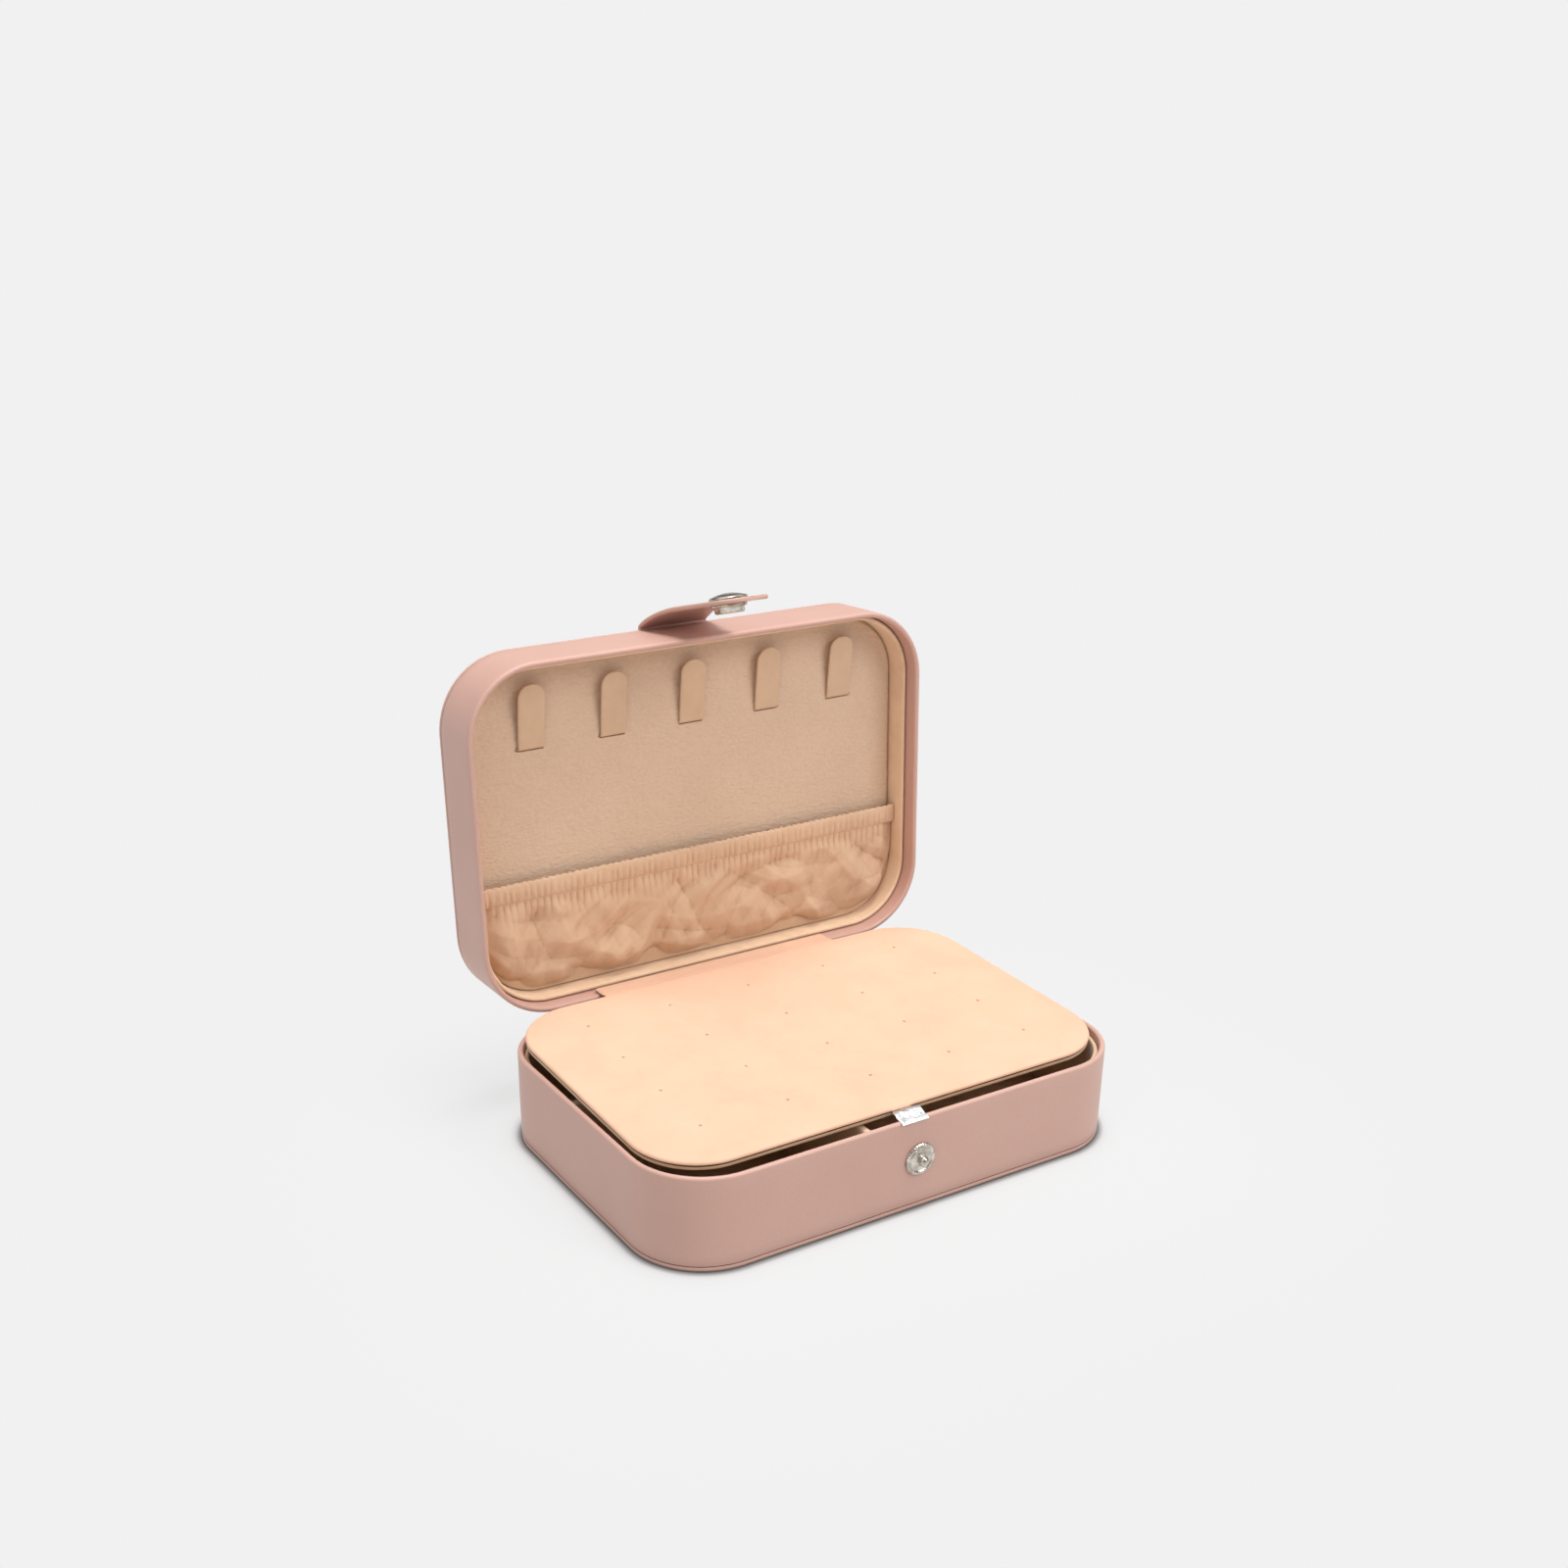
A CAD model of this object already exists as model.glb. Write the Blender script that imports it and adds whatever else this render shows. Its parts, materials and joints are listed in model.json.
import json
import math

import bmesh
import bpy
from mathutils import Matrix, Vector, noise
from mathutils.geometry import delaunay_2d_cdt


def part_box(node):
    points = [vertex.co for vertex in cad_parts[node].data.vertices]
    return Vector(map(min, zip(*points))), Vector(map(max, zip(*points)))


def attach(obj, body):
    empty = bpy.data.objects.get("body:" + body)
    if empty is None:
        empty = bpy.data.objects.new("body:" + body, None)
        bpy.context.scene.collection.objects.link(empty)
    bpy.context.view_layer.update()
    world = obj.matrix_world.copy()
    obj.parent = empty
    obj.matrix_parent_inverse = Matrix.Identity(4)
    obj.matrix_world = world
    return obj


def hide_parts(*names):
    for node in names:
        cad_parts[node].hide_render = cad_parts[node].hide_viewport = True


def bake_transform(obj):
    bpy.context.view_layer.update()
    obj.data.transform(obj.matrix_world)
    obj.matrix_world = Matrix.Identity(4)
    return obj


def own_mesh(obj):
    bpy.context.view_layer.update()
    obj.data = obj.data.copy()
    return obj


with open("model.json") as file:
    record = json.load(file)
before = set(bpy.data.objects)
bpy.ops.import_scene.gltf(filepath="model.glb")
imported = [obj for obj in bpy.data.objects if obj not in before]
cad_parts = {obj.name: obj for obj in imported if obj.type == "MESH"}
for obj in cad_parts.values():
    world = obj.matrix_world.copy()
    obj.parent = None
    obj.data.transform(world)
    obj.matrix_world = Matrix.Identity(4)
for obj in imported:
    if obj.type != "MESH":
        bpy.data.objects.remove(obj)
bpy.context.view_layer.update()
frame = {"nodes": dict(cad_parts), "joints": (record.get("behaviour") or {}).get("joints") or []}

# A travel jewelry case, shown open: a wrapped tray with an earring flap, and a lid with
# necklace tabs and a gathered pocket. Lengths are in metres.
MM = 0.001
IDENTITY = Matrix.Identity(4)
JOINTS = {joint["name"]: joint for joint in frame["joints"]}


# ---- places from the frame

def turn(joint_name):
    """Turn about a joint's place, parallel to X, from the closed case to the shown one."""
    joint = JOINTS[joint_name]
    place = Matrix.Translation(Vector(joint["pos_m"]))
    angle = math.radians(joint["range_deg"][0])
    return place @ Matrix.Rotation(angle, 4, "X") @ place.inverted()


def span(node, matrix=IDENTITY):
    """Lowest and highest corner of a CAD node in a local frame."""
    inverse = matrix.inverted()
    points = [inverse @ v.co for v in frame["nodes"][node].data.vertices]
    low = Vector([min(p[k] for p in points) for k in range(3)])
    high = Vector([max(p[k] for p in points) for k in range(3)])
    return low, high


def flap_frame():
    """Frame of the earring flap: origin at the middle of its top back edge, Z out of its top."""
    faces = frame["nodes"]["flap_pad"].data.polygons
    normal = max(faces, key=lambda face: face.area).normal
    tilt = Matrix.Rotation(math.atan2(-normal.y / normal.z, 1), 4, "X")
    top = span("flap_pad", tilt)[1]
    return tilt @ Matrix.Translation((0, top.y, top.z))


# The lid's own frame is the closed case; LID carries it to the open lid.
LID = turn("lid_hinge")
LID_TOP = span("lid_top_leather", LID)[1].z
LID_TRAY = LID @ Matrix.Translation((0, 0, LID_TOP)) @ Matrix.Scale(-1, 4, (0, 0, 1))
FLAP = flap_frame()
STRAP_ROOT = LID.inverted() @ Vector(JOINTS["strap_hinge"]["pos_m"])
STRAP = turn("strap_hinge") @ LID @ Matrix.Translation(STRAP_ROOT)

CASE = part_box("base_wall_leather")[1]
HALF_W = CASE.x
HALF_D = CASE.y
BASE_H = CASE.z
LID_H = span("lid_wall_leather", LID_TRAY)[1].z
SEAM_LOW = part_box("base_bottom_leather")[1].z
SEAM_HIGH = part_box("base_wall_leather")[0].z
LINER_OUT = HALF_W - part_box("base_liner_ring")[1].x

# The CAD's own sizes that no bounding box gives, as part.scad has them.
CORNER_R = 23.5 * MM
SKIN = 0.4 * MM
RIM_R = 0.9 * MM
TURN_IN = 7 * MM
LINER_T = 1.3 * MM
HOLE_X = 29.2 * MM
HOLE_Y = 22.7 * MM
HOLE_START = 15.6 * MM
HOLE_R = 0.55 * MM
FLAP_R = 21 * MM
STRAP_T = 1.4 * MM
STRAP_W = 17 * MM
STRAP_BEND = math.radians(22)


# ---- mesh helpers

def grid(rows, close_rows=False, close_columns=False):
    """Surface through rows of points, as (vertices, faces)."""
    count = len(rows[0])
    faces = []
    for i in range(len(rows) if close_rows else len(rows) - 1):
        for j in range(count if close_columns else count - 1):
            i2 = (i + 1) % len(rows)
            j2 = (j + 1) % count
            faces.append((i * count + j, i2 * count + j, i2 * count + j2, i * count + j2))
    return [p for row in rows for p in row], faces


def capped(rows):
    """Closed tube through rows of points, with a face at each end."""
    vertices, faces = grid(rows, close_columns=True)
    count = len(rows[0])
    return vertices, faces + [tuple(range(count)), tuple(range(len(vertices) - count, len(vertices)))]


def joined(*shapes):
    """Several (vertices, faces) as one."""
    vertices, faces = [], []
    for more_vertices, more_faces in shapes:
        start = len(vertices)
        vertices += more_vertices
        faces += [tuple(start + i for i in face) for face in more_faces]
    return vertices, faces


def placed(name, data):
    """A new object in the scene."""
    obj = bpy.data.objects.new(name, data)
    bpy.context.scene.collection.objects.link(obj)
    return obj


def piece(name, shape, material, body=None, matrix=IDENTITY, sharp=38):
    """A new object from (vertices, faces) in a local frame, welded and smooth shaded."""
    vertices, faces = shape
    mesh = bpy.data.meshes.new(name)
    mesh.from_pydata([matrix @ Vector(v) for v in vertices], [], faces)
    obj = placed(name, mesh)
    weld(mesh)
    mesh.polygons.foreach_set("use_smooth", [True] * len(mesh.polygons))
    mesh.set_sharp_from_angle(angle=math.radians(sharp))
    mesh.materials.append(material)
    if body:
        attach(obj, body)
    return obj


def weld(mesh):
    """Joins points that lie together and turns the faces outward."""
    bm = bmesh.new()
    bm.from_mesh(mesh)
    bmesh.ops.remove_doubles(bm, verts=bm.verts, dist=1e-6)
    bmesh.ops.recalc_face_normals(bm, faces=bm.faces)
    bm.to_mesh(mesh)
    bm.free()


def arc(centre, radius, start, end, steps):
    """Points on an arc in a plane, angles in degrees."""
    angles = [math.radians(start + (end - start) * i / steps) for i in range(steps + 1)]
    return [(centre[0] + radius * math.cos(a), centre[1] + radius * math.sin(a)) for a in angles]


def shoulder(radius, top, steps):
    """Rounded upper edge of a plate's profile, as (inset, height) points."""
    return [(radius - x, z) for x, z in arc((0, top - radius), radius, 0, 90, steps)]


def spread(start, end, step):
    """Evenly spaced values from start to end, about a step apart."""
    count = max(1, round(abs(end - start) / step))
    return [start + (end - start) * i / count for i in range(count + 1)]


def around(half_w, half_d, radius):
    """Stations round a rounded rectangle, as (point, outward normal)."""
    step = 3 * MM
    arc_steps = 16
    stations = []
    for k in range(4):
        side = Vector((1 if k in (0, 3) else -1, 1 if k < 2 else -1))
        centre = Vector((side.x * (half_w - radius), side.y * (half_d - radius)))
        for i in range(arc_steps):
            angle = math.radians(90 * (k + i / arc_steps))
            normal = Vector((math.cos(angle), math.sin(angle)))
            stations.append((centre + radius * normal, normal))
        run = 2 * (half_w if k % 2 == 0 else half_d) - 2 * radius
        normal = Vector((-math.sin(math.radians(90 * k)), math.cos(math.radians(90 * k))))
        along = Vector((-normal.y, normal.x))
        for distance in spread(0, run, step)[:-1]:
            stations.append((centre + radius * normal + distance * along, normal))
    return stations


def sweep(stations, profile, wave=0.0, closed=True):
    """Carries a profile of (inset, height) points round the stations. The wave is a slight unevenness."""
    rows = []
    for point, normal in stations:
        row = []
        for inset, height in profile:
            uneven = wave * noise.noise(Vector((point.x, point.y, height)) * 55)
            flat = point - (inset + uneven) * normal
            row.append((flat.x, flat.y, height))
        rows.append(row)
    return grid(rows, close_rows=True, close_columns=closed)


def filled(ring, points, height):
    """Triangles inside a ring of plan points, through more points, at height(x, y)."""
    count = len(ring)
    plan = [Vector(p) for p in ring] + [Vector(p) for p in points]
    edges = [(i, (i + 1) % count) for i in range(count)]
    found = delaunay_2d_cdt(plan, edges, [], 1, 1e-8)
    return [(p.x, p.y, height(p.x, p.y)) for p in found[0]], [tuple(f) for f in found[2]]


def plan_grid(half_w, half_d, radius, inset, step):
    """Staggered plan points inside a rounded rectangle brought in by an inset."""
    points = []
    for row, y in enumerate(spread(-half_d, half_d, step)):
        for x in spread(-half_w, half_w, step):
            x += step / 2 * (row % 2)
            if inside(x, y, half_w, half_d, radius) > inset:
                points.append((x, y))
    return points


def inside(x, y, half_w, half_d, radius):
    """Distance of a plan point inside a rounded rectangle's edge."""
    over_x = abs(x) - (half_w - radius)
    over_y = abs(y) - (half_d - radius)
    if over_x > 0 and over_y > 0:
        return radius - math.hypot(over_x, over_y)
    return min(half_w - abs(x), half_d - abs(y))


def plate(half_w, half_d, radius, profile, step, top, bottom, extra=(), wave=0.0):
    """Closed plate: a profile of (inset, height) from the underside's edge round to the top's edge,
    with both faces filled at top(x, y) and bottom(x, y)."""
    stations = around(half_w, half_d, radius)
    inner = max(profile[0][0], profile[-1][0])
    points = plan_grid(half_w, half_d, radius, inner + step / 2, step)
    faces = [sweep(stations, profile, wave, closed=False)]
    for (inset, height), surface in ((profile[0], bottom), (profile[-1], top)):
        ring = [point - inset * normal for point, normal in stations]
        clear = [p for p in points if all((Vector(p) - Vector(e)).length > step / 3 for e in extra)]
        more = clear + list(extra) if surface is top else points
        near = blend_to_edge(half_w, half_d, radius, inset, height, surface)
        faces.append(filled(ring, more, near))
    return joined(*faces)


def blend_to_edge(half_w, half_d, radius, inset, height, surface):
    """A face's height that meets its rim: the rim's height at the ring, the surface's further in."""
    def at(x, y):
        depth = inside(x, y, half_w, half_d, radius) - inset
        share = min(1, max(0, depth / (0.2 * MM)))
        return height + share * (surface(x, y) - height)
    return at


def smooth(low, high, value):
    """Smooth step from 0 at low to 1 at high."""
    t = min(1, max(0, (value - low) / (high - low)))
    return t * t * (3 - 2 * t)


def round_share(distance, radius):
    """Width of a round end at a distance from its tip, as a share of the full width."""
    return math.sqrt(max(0, 1 - (1 - min(1, distance / radius)) ** 2))


def lathe(profile, steps=72, ripple=None):
    """Turns a profile of (radius, height) about Z. A ripple(angle, radius, height) shifts heights."""
    rows = []
    for i in range(steps):
        angle = 2 * math.pi * i / steps
        row = []
        for radius, height in profile:
            lift = ripple(angle, radius, height) if ripple else 0
            row.append((radius * math.cos(angle), radius * math.sin(angle), height + lift))
        rows.append(row)
    return grid(rows, close_rows=True)


def ribbon(path, half_width, thickness, columns=12, edge_steps=3):
    """A flat strip with rounded edges. The path gives (y, z) points on its middle line, and half_width(s)
    the half width at a distance s along it."""
    rows = []
    distance = 0
    for i, point in enumerate(path):
        before = Vector(path[max(0, i - 1)])
        after = Vector(path[min(len(path) - 1, i + 1)])
        along = (after - before).normalized()
        normal = Vector((-along.y, along.x))
        if i:
            distance += (Vector(point) - Vector(path[i - 1])).length
        half = half_width(distance)
        ring = []
        for side in (1, -1):
            for k in range(columns + 1):
                ring.append((side * half * (1 - 2 * k / columns), side * thickness / 2))
            round_edge = arc((0, 0), thickness / 2, 90 * side, 90 * side - 180, edge_steps + 1)
            ring += [(-side * half + (-side) * abs(c[0]), c[1]) for c in round_edge[1:-1]]
        rows.append([(u, point[0] + normal.x * n, point[1] + normal.y * n) for u, n in ring])
    return capped(rows)


# ---- materials

def srgb(red, green, blue):
    """A colour on the 0 to 255 scale, as the shader's linear one."""
    values = [c / 255 for c in (red, green, blue)]
    return [c / 12.92 if c < 0.04045 else ((c + 0.055) / 1.055) ** 2.4 for c in values] + [1]


def feed(tree, socket, value):
    """Links an input to another socket, or sets its value."""
    if isinstance(value, bpy.types.NodeSocket):
        tree.links.new(value, socket)
    else:
        socket.default_value = value


def add_node(tree, kind, inputs, **settings):
    """A shader node with its settings, and its inputs fed."""
    node = tree.nodes.new("ShaderNode" + kind)
    for name, value in settings.items():
        setattr(node, name, value)
    for name, value in inputs.items():
        feed(tree, node.inputs[name], value)
    return node


class Look:
    """A material on one Principled shader, with helpers for its texture nodes."""

    def __init__(self, name, roughness=0.5, metallic=0.0, sheen=0.0, specular=0.5):
        self.material = bpy.data.materials.new(name)
        self.material.use_nodes = True
        self.tree = self.material.node_tree
        self.shader = self.tree.nodes["Principled BSDF"]
        self.place = self.add("TexCoord", {}).outputs["Object"]
        self.normal = None
        self.set("Roughness", roughness)
        self.set("Metallic", metallic)
        self.set("Specular IOR Level", specular)
        self.set("Sheen Weight", sheen)
        self.set("Sheen Roughness", 0.5)

    def add(self, kind, inputs, **settings):
        return add_node(self.tree, kind, inputs, **settings)

    def set(self, name, value):
        feed(self.tree, self.shader.inputs[name], value)

    def stretched(self, scale):
        return self.add("Mapping", {"Scale": scale, "Vector": self.place}).outputs["Vector"]

    def noise(self, scale, detail=4.0, rough=0.55, place=None):
        inputs = {"Scale": scale, "Detail": detail, "Roughness": rough, "Vector": place or self.place}
        return self.add("TexNoise", inputs).outputs["Fac"]

    def cells(self, scale, place=None):
        inputs = {"Scale": scale, "Vector": place or self.place}
        return self.add("TexVoronoi", inputs, feature="SMOOTH_F1").outputs["Distance"]

    def ramp(self, value, stops):
        """Colours by value: stops are (position, colour)."""
        node = self.add("ValToRGB", {"Fac": value})
        elements = node.color_ramp.elements
        while len(elements) < len(stops):
            elements.new(0.5)
        for element, (position, colour) in zip(elements, stops):
            element.position = position
            element.color = colour
        return node.outputs["Color"]

    def mixed(self, share, first, second, how="MIX"):
        inputs = {0: share, 6: first, 7: second}
        return self.add("Mix", inputs, data_type="RGBA", blend_type=how).outputs[2]

    def colour(self, value):
        self.set("Base Color", value)

    def roughness(self, value, low, high):
        inputs = {"Value": value, "To Min": low, "To Max": high}
        self.set("Roughness", self.add("MapRange", inputs).outputs["Result"])

    def bump(self, height, strength, depth):
        """Adds a bump of that depth, in metres, on top of those before it."""
        inputs = {"Strength": strength, "Distance": depth, "Height": height}
        if self.normal:
            inputs["Normal"] = self.normal
        self.normal = self.add("Bump", inputs).outputs["Normal"]
        self.set("Normal", self.normal)


def pink_leather():
    """Satin coated leather with a fine close grain."""
    look = Look("pink_leather", roughness=0.42, specular=0.42)
    cloudy = look.noise(18, detail=3)
    soft = look.ramp(cloudy, [(0.3, srgb(204, 164, 150)), (0.7, srgb(210, 171, 157))])
    grain = look.cells(1500)
    fine = look.noise(5200, detail=2)
    pores = look.ramp(grain, [(0.0, srgb(214, 178, 166)), (0.6, srgb(170, 130, 120))])
    look.colour(look.mixed(0.12, soft, pores, "MULTIPLY"))
    look.roughness(look.noise(60), 0.36, 0.5)
    look.bump(grain, 0.16, 0.06 * MM)
    look.bump(fine, 0.1, 0.03 * MM)
    look.bump(look.noise(90, detail=1), 0.12, 0.25 * MM)
    return look.material


def suede(name, light, dark, nap=0.35, depth=0.10 * MM, sheen=0.25):
    """Short brushed fabric: a mottled nap over fine fibres."""
    look = Look(name, roughness=0.92, sheen=sheen, specular=0.15)
    patches = look.noise(70, detail=5, rough=0.6)
    strokes = look.noise(420, detail=4, place=look.stretched((1, 0.45, 0.8)))
    fibres = look.noise(3800, detail=3, rough=0.7)
    base = look.ramp(patches, [(0.35, dark), (0.65, light)])
    base = look.mixed(nap, base, look.ramp(strokes, [(0.3, dark), (0.7, light)]))
    look.colour(look.mixed(0.25, base, look.ramp(fibres, [(0.3, dark), (0.7, light)])))
    look.bump(fibres, 0.35, depth)
    look.bump(strokes, 0.18, depth * 1.6)
    return look.material


def grained_panel():
    """Soft leather-like sheet with a fine pebble grain and faint streaks across it."""
    look = Look("grained_panel", roughness=0.62, sheen=0.08, specular=0.3)
    across = look.stretched((0.55, 1, 1))
    pebbles = look.cells(1500, across)
    lines = look.noise(900, detail=3, place=look.stretched((0.4, 1, 1)))
    patches = look.noise(28, detail=4)
    base = look.ramp(patches, [(0.3, srgb(205, 177, 152)), (0.7, srgb(213, 185, 160))])
    tops = look.ramp(pebbles, [(0.1, srgb(236, 206, 178)), (0.7, srgb(196, 158, 128))])
    look.colour(look.mixed(0.14, base, tops))
    look.bump(pebbles, 0.9, 0.22 * MM)
    look.bump(lines, 0.9, 0.34 * MM)
    return look.material


def pocket_fabric():
    """Thin brushed cloth, with a faint crosswise grain and soft creases."""
    look = Look("pocket_fabric", roughness=0.85, sheen=0.2, specular=0.2)
    patches = look.noise(90, detail=6, rough=0.65)
    fibres = look.noise(3200, detail=3, rough=0.7)
    creases = look.noise(340, detail=5, rough=0.6)
    base = look.ramp(patches, [(0.35, srgb(208, 172, 141)), (0.65, srgb(219, 185, 155))])
    fibre_tint = look.ramp(fibres, [(0.3, srgb(192, 154, 122)), (0.7, srgb(228, 196, 168))])
    shaded = look.add("NewGeometry", {}).outputs["Pointiness"]
    stops = [(0.46, (0.72, 0.65, 0.58, 1)), (0.5, (0.95, 0.94, 0.93, 1)), (0.54, (1, 1, 1, 1))]
    hollows = look.ramp(shaded, stops)
    look.colour(look.mixed(1.0, look.mixed(0.2, base, fibre_tint), hollows, "MULTIPLY"))
    look.bump(creases, 0.3, 0.3 * MM)
    look.bump(fibres, 0.35, 0.08 * MM)
    return look.material


def nickel(name, light=srgb(226, 219, 209), dark=srgb(172, 162, 150), roughness=0.2, crinkle=0):
    """Plated metal with fine scratches and a little tarnish."""
    look = Look(name, roughness=roughness, metallic=1.0)
    cloudy = look.noise(420, detail=5)
    scratches = look.noise(2600, detail=2, place=look.stretched((1, 0.08, 0.3)))
    look.colour(look.ramp(cloudy, [(0.35, dark), (0.6, light)]))
    look.roughness(scratches, roughness - 0.08, roughness + 0.14)
    look.bump(scratches, 0.12, 0.03 * MM)
    if crinkle:
        look.bump(look.noise(520, detail=3), 0.8, crinkle)
    return look.material


def greyboard(name, light, dark):
    """Pressed board with flecks of fibre."""
    look = Look(name, roughness=0.95, specular=0.1)
    flecks = look.noise(900, detail=5, rough=0.7, place=look.stretched((1, 0.5, 1)))
    look.colour(look.ramp(flecks, [(0.3, dark), (0.7, light)]))
    look.bump(flecks, 0.4, 0.12 * MM)
    return look.material


def open_foam():
    """Open-cell foam."""
    look = Look("open_foam", roughness=1.0, specular=0.05)
    pores = look.cells(1400)
    look.colour(look.ramp(pores, [(0.1, srgb(190, 174, 132)), (0.6, srgb(232, 219, 180))]))
    look.bump(pores, 0.6, 0.3 * MM)
    return look.material


def elastic_band():
    """Ribbed woven elastic."""
    look = Look("elastic_band", roughness=0.8, sheen=0.2, specular=0.2)
    ribs = look.noise(1600, detail=2, place=look.stretched((1, 0.1, 0.1)))
    look.colour(look.ramp(ribs, [(0.3, srgb(214, 196, 172)), (0.7, srgb(240, 226, 206))]))
    look.bump(ribs, 0.5, 0.1 * MM)
    return look.material


LEATHER = pink_leather()
FLAP_SUEDE = suede("flap_suede", srgb(229, 188, 161), srgb(221, 179, 151), nap=0.2, sheen=0.1)
LINER_SUEDE = suede("liner_suede", srgb(238, 208, 176), srgb(222, 188, 154))
EDGE_SUEDE = suede("edge_suede", srgb(214, 184, 152), srgb(190, 158, 126))
TAB_SUEDE = suede("tab_suede", srgb(212, 180, 150), srgb(198, 165, 135))
ROLL_VELVET = suede("roll_velvet", srgb(226, 192, 158), srgb(204, 168, 134), depth=0.16 * MM, sheen=0.45)
PANEL = grained_panel()
POCKET = pocket_fabric()
METAL = nickel("nickel")
BRIGHT = nickel("bright_nickel", srgb(250, 250, 250), srgb(228, 228, 228), roughness=0.3, crinkle=0.5 * MM)
BOARD = greyboard("greyboard", srgb(176, 164, 148), srgb(136, 124, 110))
DARK_BOARD = greyboard("dark_board", srgb(104, 74, 56), srgb(72, 48, 36))
FOAM = open_foam()
ELASTIC = elastic_band()


# ---- wrapped trays

def wall_profile(height):
    """Wall leather in section, from its lower edge up the outside, over the rim and down inside."""
    rim = height - RIM_R
    outside = [(0, z) for z in spread(SEAM_HIGH + 0.25 * MM, rim, 3 * MM)[:-1]]
    outer_arc = [(RIM_R - x, z) for x, z in arc((0, rim), RIM_R, 0, 180, 12)]
    inner_edge = [(2 * RIM_R, z) for z in spread(rim, height - TURN_IN, 2 * MM)[1:]]
    under = RIM_R - SKIN
    inner_arc = [(RIM_R - x, z) for x, z in arc((0, rim), under, 180, 0, 10)]
    back = [(SKIN, SEAM_HIGH)]
    return [(0.12 * MM, SEAM_HIGH)] + outside + outer_arc + inner_edge + \
        [(2 * RIM_R - SKIN, height - TURN_IN)] + inner_arc + back


def panel_profile():
    """Outer panel's leather in section: the face's edge, rounded corner and side up to the seam."""
    radius = 0.8 * MM
    corner = [(radius - x, radius + z) for x, z in arc((0, 0), radius, -90, 0, 8)]
    lip = [(0, SEAM_LOW - 0.2 * MM), (0.12 * MM, SEAM_LOW)]
    inner = [(SKIN, SEAM_LOW), (SKIN, radius), (radius, SKIN), (4 * MM, SKIN)]
    return [(4 * MM, 0), (2 * MM, 0)] + corner + lip + inner


def tray(name, body, height, matrix, wall_node, panel_node):
    """Wall and panel leather of the base or the lid, panel face at z = 0 and rim at the height."""
    stations = around(HALF_W, HALF_D, CORNER_R)
    wall = piece(name + "_wall", sweep(stations, wall_profile(height), wave=0.10 * MM),
                 LEATHER, body, matrix)
    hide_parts(wall_node)
    shape = plate(HALF_W, HALF_D, CORNER_R, panel_profile(), 6 * MM,
                  top=lambda x, y: SKIN, bottom=lambda x, y: 0, wave=0.06 * MM)
    panel = piece(name + "_panel", shape, LEATHER, body, matrix)
    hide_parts(panel_node)


def liner(name, body, node, matrix):
    """Ring of suede-wrapped board inside a wall, with a rounded upper edge."""
    low, high = span(node, matrix)
    round_r = LINER_T / 2
    edge = [(LINER_OUT + round_r - x, z) for x, z in arc((0, high.z - round_r), round_r, 0, 180, 8)]
    profile = [(LINER_OUT, z) for z in spread(low.z, high.z - round_r, 4 * MM)[:-1]] + edge + \
        [(LINER_OUT + LINER_T, z) for z in spread(high.z - round_r, low.z, 4 * MM)[1:]]
    obj = piece(name, sweep(around(HALF_W, HALF_D, CORNER_R), profile, wave=0.08 * MM),
                LINER_SUEDE, body, matrix)
    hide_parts(node)


tray("base", "base", BASE_H, IDENTITY, "base_wall_leather", "base_bottom_leather")
tray("lid", "lid", LID_H, LID_TRAY, "lid_wall_leather", "lid_top_leather")
liner("base_liner", "base", "base_liner_ring", IDENTITY)
liner("lid_liner", "lid", "lid_liner_ring", LID_TRAY)


# ---- lid fittings

TAB_NODES = [n for n in frame["nodes"] if n.startswith("necklace_tab_")]
PANEL_LOW, PANEL_HIGH = span("lid_back_panel", LID_TRAY)
PANEL_Z = PANEL_HIGH.z
TAB_SLIT = 0.75 * MM
ANCHOR_LOW, ANCHOR_HIGH = span("tab_anchors", LID_TRAY)
TAB_ROW = (ANCHOR_LOW.y + ANCHOR_HIGH.y) / 2


def tab_centres():
    """Places of the necklace tabs across the lid."""
    boxes = [span(node, LID_TRAY) for node in sorted(TAB_NODES)]
    return [(low.x + high.x) / 2 for low, high in boxes], (boxes[0][1].x - boxes[0][0].x) / 2


def slit_ring(x, half, out):
    """Plan points round a tab's slit, at a distance outside it."""
    across = spread(x - half - out, x + half + out, 0.8 * MM)
    return [(u, TAB_ROW + side * (TAB_SLIT + out)) for u in across for side in (-1, 1)]


def lid_panel():
    """Grained padded panel in the lid, with the slits that the tabs come out of."""
    gap = 0.35 * MM
    edge_r = 1.0 * MM
    half_w, half_d = PANEL_HIGH.x - gap, PANEL_HIGH.y - gap
    radius = CORNER_R - (HALF_W - half_w)
    centres, half = tab_centres()
    half += 0.15 * MM
    outs = (-0.02 * MM, 0.12 * MM, 0.9 * MM)
    slits = [p for x in centres for out in outs for p in slit_ring(x, half, out)]

    def top(x, y):
        for centre in centres:
            if abs(x - centre) < half and abs(y - TAB_ROW) < TAB_SLIT:
                return PANEL_Z - 0.9 * MM
        puff = 0.10 * MM * noise.noise(Vector((x, y, 3)) * 26)
        near = min(math.hypot(x - c, y - TAB_ROW) for c in centres)
        return PANEL_Z - 0.05 * MM + puff * smooth(5 * MM, 12 * MM, near)

    profile = [(3 * MM, PANEL_LOW.z), (0, PANEL_LOW.z)] + shoulder(edge_r, PANEL_Z, 8)
    shape = plate(half_w, half_d, radius, profile, 3.2 * MM, top, lambda x, y: PANEL_LOW.z, slits)
    obj = piece("lid_panel", shape, PANEL, "lid", LID_TRAY)
    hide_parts("lid_back_panel")


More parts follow.
